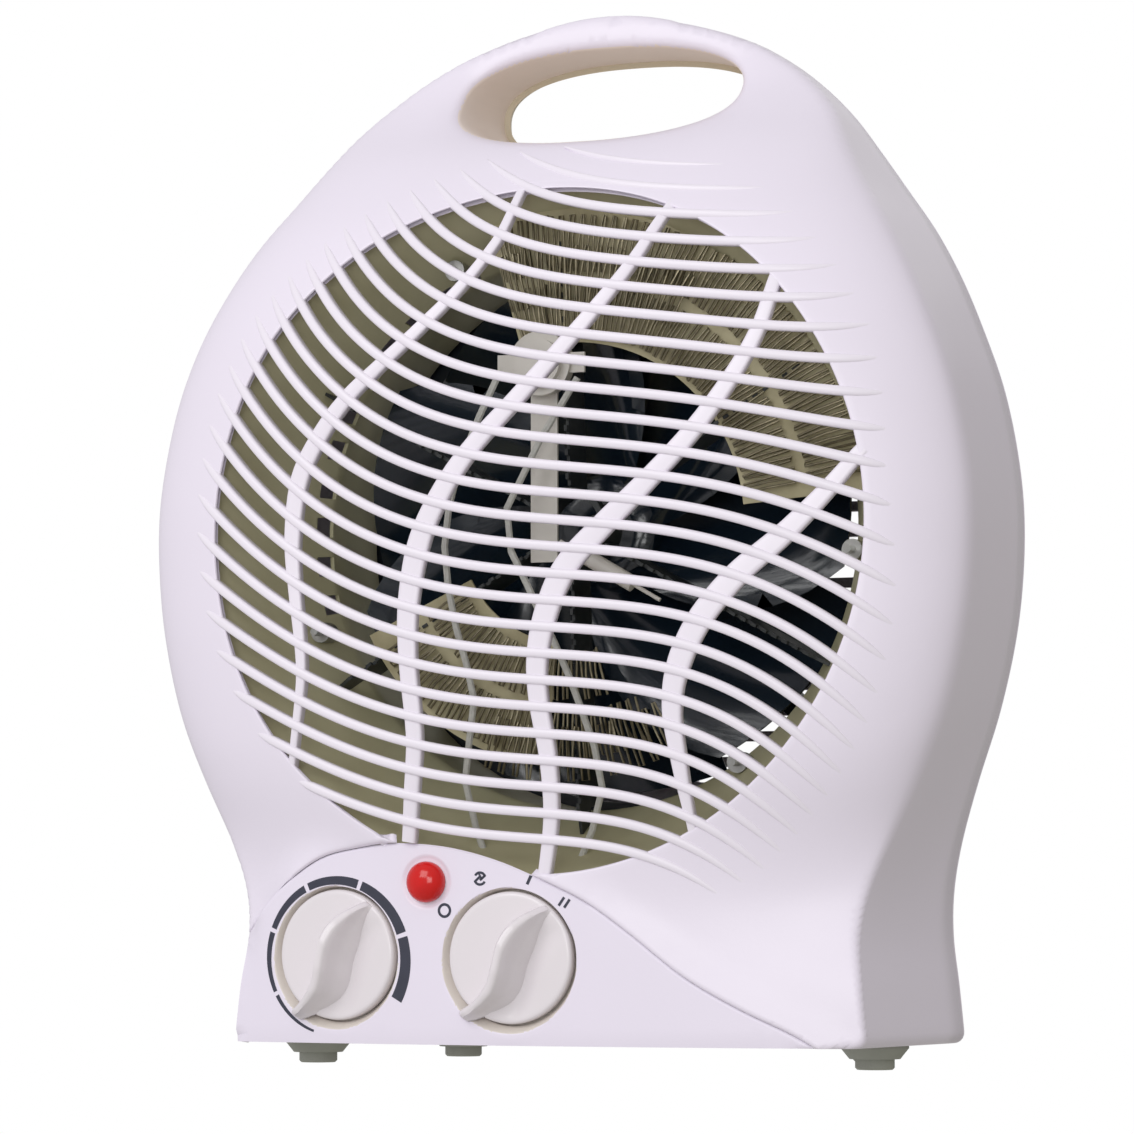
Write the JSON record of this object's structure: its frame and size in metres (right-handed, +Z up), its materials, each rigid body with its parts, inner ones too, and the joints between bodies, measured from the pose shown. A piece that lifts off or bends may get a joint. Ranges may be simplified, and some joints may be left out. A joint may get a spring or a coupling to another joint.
{
  "type": "fan convector heater",
  "caption": "Upright fan convector heater with a bowed louvred front, carrying handle, two rotary controls, neon lamp, resistance element and axial fan.",
  "frame": {"origin": "on the resting surface, under the middle of the box", "axes": "+Z up, the louvred front faces -Y, +X to the right seen from the front"},
  "size_m": [0.2134, 0.1251, 0.265],
  "materials": {
    "shell": "satin",
    "panel": "satin",
    "knob": "satin",
    "foot": "matte",
    "lens": "gloss",
    "glow": "gloss",
    "steel": "satin",
    "brass_parts": "satin",
    "dark_plastic": "matte",
    "duct": "satin",
    "mica": "satin",
    "wire": "matte",
    "ceramic": "matte",
    "copper_winding": "satin",
    "lamination": "matte",
    "bracket": "satin",
    "bakelite": "matte",
    "sleeve": "matte"
  },
  "bodies": {
    "housing": {"front_shell": "shell", "control_panel": "panel", "rear_shell": "shell", "front_feet": "foot", "rear_feet": "foot", "foot_screws": "steel", "housing_screws": "steel", "panel_screws": "steel", "thermostat_body": "bakelite", "thermostat_bimetal": "brass_parts", "switch_body": "ceramic", "switch_tabs": "brass_parts", "control_screws": "steel", "lamp_lens": "lens", "neon_lamp": "glow", "element_duct": "duct", "mica_formers": "mica", "mica_backs": "mica", "upper_coil": "wire", "lower_coil": "wire", "element_terminals": "steel", "thermal_cutout": "ceramic", "thermal_fuse": "ceramic", "element_leads": "sleeve", "motor_mount": "dark_plastic", "mount_screws": "steel", "motor_stator": "lamination", "motor_winding": "copper_winding", "front_bracket": "bracket", "rear_bracket": "bracket", "motor_bearings": "brass_parts", "motor_screws": "steel", "terminal_block": "ceramic", "terminal_screws": "brass_parts", "cord_inlet": "dark_plastic", "cord_clamp": "ceramic", "clamp_screws": "steel"},
    "fan": {"fan_impeller": "dark_plastic", "impeller_clip": "steel", "motor_shaft": "steel", "motor_rotor": "lamination"},
    "thermostat_dial": {"thermostat_knob": "knob", "thermostat_spindle": "steel"},
    "switch_dial": {"switch_knob": "knob", "switch_spindle": "steel"}
  },
  "joints": [
    {"name": "fan_spin", "type": "hinge", "parent": "housing", "child": "fan", "pos_m": [0, 0.005, 0.133], "axis": [0, -1, 0], "continuous": true},
    {"name": "thermostat_turn", "type": "hinge", "parent": "housing", "child": "thermostat_dial", "pos_m": [-0.0519, -0.04982, 0.0276], "axis": [-0.1221, -0.9925, 0], "range_deg": [-80, 200]},
    {"name": "switch_turn", "type": "hinge", "parent": "housing", "child": "switch_dial", "pos_m": [-0.0051, -0.05297, 0.0271], "axis": [-0.012, -0.9999, 0], "range_deg": [0, 105]}
  ]
}
